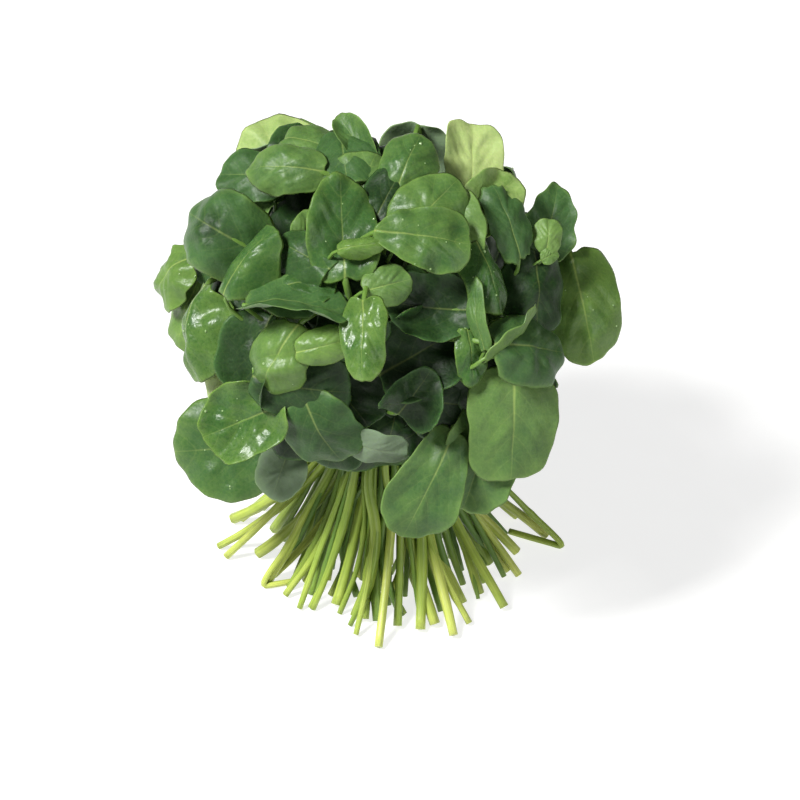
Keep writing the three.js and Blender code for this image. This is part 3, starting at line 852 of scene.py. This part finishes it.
# More stems stand between those of the frame: feet as x and y in millimetres on the surface. A kinked one
# has also a fold, which is how far its cut end lies from the kink along the surface.
looseStems = {"thick": 1.9, "waist": (12, 19), "top": (34, 52)}  # millimetres, thick being a radius
looseFeet = [
    {"at": (-59, 18)}, {"at": (-64, -6), "thick": 1.4}, {"at": (-40, -30)}, {"at": (-33, 4)},
    {"at": (-22, -30)}, {"at": (-13, -43)}, {"at": (-12, -54), "thick": 1.1}, {"at": (7, -42)},
    {"at": (19, -49)}, {"at": (20, -34)}, {"at": (36, -29)}, {"at": (40, -10)}, {"at": (40, 22)},
    {"at": (52, 20)}, {"at": (22, 48)}, {"at": (6, 54)}, {"at": (-12, 50)}, {"at": (-36, 38)},
    {"at": (-50, 26)}, {"at": (-28, 52)},
    {"at": (44, 36)}, {"at": (32, -47), "thick": 1.2}, {"at": (-23, -20)}, {"at": (0, -34)},
    {"at": (12, -26)}, {"at": (-45, 12)}, {"at": (-34, -38), "thick": 1.2}, {"at": (-47, -22), "thick": 2.0},
    {"at": (52, -18), "thick": 1.5}, {"at": (67, 1), "thick": 1.2, "fold": (-19, 9)},
    {"at": (-46, -24), "thick": 1.2, "fold": (11, 3)}, {"at": (-30, 56), "thick": 1.5, "fold": (10, -6)},
]


# The path of a loose stem: along the surface from its cut end if it is kinked, up to the waist with a slight
# bow, and on into the crown in a shallow curve
def loosePath(foot, fold, thick, rng):
    foot = np.array([*foot, 0.0]) * mm
    out = unit(foot)
    low, high = looseStems["waist"]
    seat = np.array([*axisXY, waistHeight]) + out * rng.uniform(low, high) * mm
    share = np.array([1, 0.75, 0.5, 0.25])[:, None]
    rising = seat + (foot - seat) * share ** (rng.uniform(1.0, 1.7) if fold is None else 1.0)
    rising[:, 2] = waistHeight * (1 - share[:, 0])
    rising[1:3] += np.cross(out, [0, 0, 1]) * rng.normal(0, 3) * mm
    top = crownMiddle + unit(out + [0, 0, rng.uniform(-0.5, 1.7)]) * rng.uniform(*looseStems["top"]) * mm
    bow = [seat + (top - seat) * s + out * 6 * mm * np.sin(np.pi * s) for s in (0, 0.33, 0.66, 1)]
    if fold is None:
        return smoothPath(standing(np.concatenate([rising, bow]), thick), 44)
    flat = np.array([*fold, 0.0]) * mm
    rising[:, 2] += thick * share[:, 0]
    lying = [foot + flat * s + [0, 0, thick * 1.05] for s in (1, 0.6, 0.25, 0.08)]
    return smoothPath(np.concatenate([lying, rising, bow]), 90)


for k, row in enumerate(looseFeet):
    rng = np.random.default_rng(500 + k)
    thick = row.get("thick", looseStems["thick"] * rng.uniform(0.7, 1.1)) * mm
    path = loosePath(row["at"], row.get("fold"), thick, rng)
    body = stemBody(path, 12, foot=thick, neck=thick * 0.6, rib=thick * 0.45, neckShare=0.9, seed=50 + k,
                    nodes=rng.uniform(0.05, 0.5, 2), pale=rng.uniform(-0.05, 0.35))
    addPiece(f"loose_stem_{k + 1:02d}", [body], [stemSkin, cutFlesh])

# Thin stems stand inside the ring of thick ones, spread by the golden angle
coreStems = {"count": 84, "inner": 9, "outer": 50, "thick": (0.8, 1.7)}  # millimetres, thick being a radius
coreBodies = []
for k in range(coreStems["count"]):
    rng = np.random.default_rng(700 + k)
    outShare = np.sqrt((k + 0.5) / coreStems["count"])
    radius = coreStems["inner"] + (coreStems["outer"] - coreStems["inner"]) * outShare
    thick = rng.uniform(*coreStems["thick"]) * mm
    path = loosePath((radius * np.cos(golden * k), radius * np.sin(golden * k)), None, thick, rng)
    coreBodies.append(stemBody(path, 9, foot=thick, neck=thick * 0.7, rib=thick * 0.5, neckShare=0.9,
                               seed=80 + k, nodes=rng.uniform(0.05, 0.5, 3), pale=rng.uniform(0.3, 0.9)))
addPiece("core_stems", coreBodies, [stemSkin, cutFlesh])

# Small old leaves still hang on the stems from the tie up to the crown, a little way in. Their low tones are
# partly an old leaf's own dark green and partly painted shade for the shadow between the stems under the
# crown.
skirt = {"count": 110, "from": 0.24, "to": 0.50, "in": 6 * mm, "length": 11, "width": 7}
lowPaths = [smoothPath(line, 100) for line in stemLines.values()]
skirtBodies = []
for k in range(skirt["count"]):
    rng = np.random.default_rng(900 + k)
    path = lowPaths[rng.integers(len(lowPaths))]
    point = path[int(100 * rng.uniform(skirt["from"], skirt["to"]))]
    out = unit((point - crownMiddle) * [1, 1, 0])
    point = point - out * skirt["in"]
    way = unit(rng.normal(0, 0.8, 3) - 0.6 * out - [0, 0, 0.5])
    size = rng.uniform(0.5, 1.3)
    normal = unit(out + rng.normal(0, 0.6, 3))
    length = skirt["length"] * size
    at = blankFrame(point + way * length * mm / 2, way, normal, length, skirt["width"] * size)
    look = {**bladeDefaults, "rings": 5, "sides": 20, "seed": 2000 + k, "tone": rng.uniform(0.05, 0.4),
            "cup": rng.uniform(-0.4, 0.4), "rumple": 0.2 * mm}
    skirtBodies.append(bladeBody(at, look))
addPiece("skirt_leaves", skirtBodies, [leafAbove, leafBelow])
print("loose stems and low leaves done")


# Water drops on the wet blades of the frame: flat domes, half sunk into the skin
drops = {"count": 6, "wetFrom": 0.45, "small": 0.25 * mm, "large": 0.65 * mm, "flat": 0.6,
         "dark": "#56773a", "light": "#9db383"}


# A drop as rings round the blade's normal, from its top to its underside
def dropBody(place, normal, radius):
    side = unit(np.cross(normal, [0.3, 0.2, 1.0]))
    turn = np.linspace(0, 2 * np.pi, 10, endpoint=False)
    spoke = np.cos(turn)[:, None] * side + np.sin(turn)[:, None] * np.cross(normal, side)
    polar = np.radians([30, 60, 90, 130])[:, None, None]
    rings = place + radius * (np.sin(polar) * spoke + drops["flat"] * np.cos(polar) * normal)
    poles = [place + radius * drops["flat"] * normal, place - radius * drops["flat"] * normal]
    return {"rings": rings, "poles": poles, "kinds": np.zeros(5, int), "fields": {}}


# A water drop in the greens that would show through it, as clouds 3 mm across, with a smooth shining skin
def waterMaterial():
    material, tree, skin = newMaterial("water drop on a leaf")
    colour = blend(tree, clouds(tree, 3 * mm), drops["dark"], drops["light"])
    tree.links.new(colour, skin.inputs["Base Color"])
    skin.inputs["Roughness"].default_value = 0.05
    skin.inputs["IOR"].default_value = 1.33
    return material


dropBodies = []
for k, look in placedLooks.items():
    if look["wet"] < drops["wetFrom"]:
        continue
    rng = np.random.default_rng(1200 + k)
    q = np.sqrt(rng.uniform(0, 0.95, drops["count"]))
    turn = rng.uniform(0, 2 * np.pi, drops["count"])
    places, _ = bladePlaces(look["at"], look, q, turn)
    for place in places + look["at"]["normal"] * look["thick"] / 2:
        radius = drops["small"] + (drops["large"] - drops["small"]) * rng.uniform() ** 3
        dropBodies.append(dropBody(place, look["at"]["normal"], radius))
addPiece("water_drops", dropBodies, [waterMaterial()])
print("water drops done:", len(dropBodies))


# The tie: one rubber ring wound four times round the waist. The height of the strand swings by a sine that
# takes all the turns to come round, and its distance by a cosine three times as fast.
tie = {"turns": 4, "strand": 1.0 * mm, "sway": 0.5 * mm, "steps": 400, "sides": 10}
turn = np.linspace(0, 2 * np.pi * tie["turns"], tie["steps"], endpoint=False)
swing = turn / tie["turns"]
bandOuter = (bandHigh[0] - bandLow[0]) / 2
away = bandOuter - tie["strand"] * 1.4 + tie["sway"] * np.cos(3 * swing)
level = waistHeight + (bandHigh[2] - bandLow[2] - 2 * tie["strand"]) / 2 * np.sin(swing)
loop = np.stack([axisXY[0] + away * np.cos(turn), axisXY[1] + away * np.sin(turn), level], -1)
way = unit(np.roll(loop, -1, axis=0) - np.roll(loop, 1, axis=0))
outward = unit(loop - [*axisXY, waistHeight])
across = unit(np.cross(way, outward))
outward = np.cross(across, way)
about = np.linspace(0, 2 * np.pi, tie["sides"], endpoint=False)[:, None]
strand = loop[:, None] + tie["strand"] * (np.cos(about) * outward[:, None] + np.sin(about) * across[:, None])
ring = np.arange(strand.shape[0] * strand.shape[1]).reshape(strand.shape[:2])
nextRing = np.roll(ring, -1, axis=0)
faces = np.stack([ring, np.roll(ring, -1, axis=1), np.roll(nextRing, -1, axis=1), nextRing], -1)
mesh = bpy.data.meshes.new("rubber_tie")
mesh.from_pydata(strand.reshape(-1, 3), [], faces.reshape(-1, 4).tolist())
mesh.shade_smooth()
mesh.materials.append(rubber)
rubberTie = bpy.data.objects.new("rubber_tie", mesh)
bpy.context.scene.collection.objects.link(rubberTie)
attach(rubberTie, "root")
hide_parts("band")
print("tie done")


# Studio: a pale floor, a key from the upper left, a weak fill from the right and a dim room
studio = {
    "floor": "#a0a09e", "fleck": "#aaaaa8", "fleckWide": 1 / 90,  # metres
    "glow": 0.76,  # the floor shines a little by itself, so that it comes out white
    "key": 48.0, "keyWide": 0.42, "fill": 9.0, "fillWide": 0.9, "room": 0.11,
}


# A wide flat floor just below the feet of the stems
def makeFloor():
    material, tree, skin = newMaterial("matt studio floor")
    colour = blend(tree, clouds(tree, studio["fleckWide"]), studio["floor"], studio["fleck"])
    tree.links.new(colour, skin.inputs["Base Color"])
    skin.inputs["Roughness"].default_value = 0.9
    skin.inputs["Specular IOR Level"].default_value = 0.1
    skin.inputs["Emission Color"].default_value = (1.0, 1.0, 1.0, 1.0)
    skin.inputs["Emission Strength"].default_value = studio["glow"]
    mesh = bpy.data.meshes.new("studio_floor")
    half, under = 6.0, -0.2 * mm
    corners = [(-half, -half, under), (half, -half, under), (half, half, under), (-half, half, under)]
    mesh.from_pydata(corners, [], [(0, 1, 2, 3)])
    mesh.materials.append(material)
    floor = bpy.data.objects.new("studio_floor", mesh)
    bpy.context.scene.collection.objects.link(floor)


# A square soft light of the given width, turned from its place in metres to look at the crown
def addLight(name, place, power, wide):
    lamp = bpy.data.lights.new(name, "AREA")
    lamp.energy, lamp.size = power, wide
    light = bpy.data.objects.new(name, lamp)
    light.location = place
    light.rotation_euler = Vector(crownMiddle - place).to_track_quat("-Z", "Y").to_euler()
    bpy.context.scene.collection.objects.link(light)


makeFloor()
addLight("key", (-0.85, -0.50, 1.35), studio["key"], studio["keyWide"])
addLight("fill", (1.1, -1.2, 0.7), studio["fill"], studio["fillWide"])
world = bpy.data.worlds.new("room")
world.use_nodes = True
world.node_tree.nodes["Background"].inputs["Color"].default_value = (1.0, 1.0, 1.0, 1.0)
world.node_tree.nodes["Background"].inputs["Strength"].default_value = studio["room"]
bpy.context.scene.world = world
bpy.context.scene.view_settings.view_transform = "Standard"

# The camera looks down at the front by the same angle as the face leans back
shot = {"aim": (5.0, -16.0, 84.0), "distance": 1.4, "frame": 0.300}
aim = np.array(shot["aim"]) * mm
lens = bpy.data.cameras.new("camera")
lens.sensor_width = 36
lens.lens = 36 * shot["distance"] / shot["frame"]
camera = bpy.data.objects.new("camera", lens)
camera.location = aim + faceOut * shot["distance"]
camera.rotation_euler = (np.pi / 2 - leanAngle, 0, 0)
bpy.context.scene.collection.objects.link(camera)
bpy.context.scene.camera = camera
print("studio and camera done")
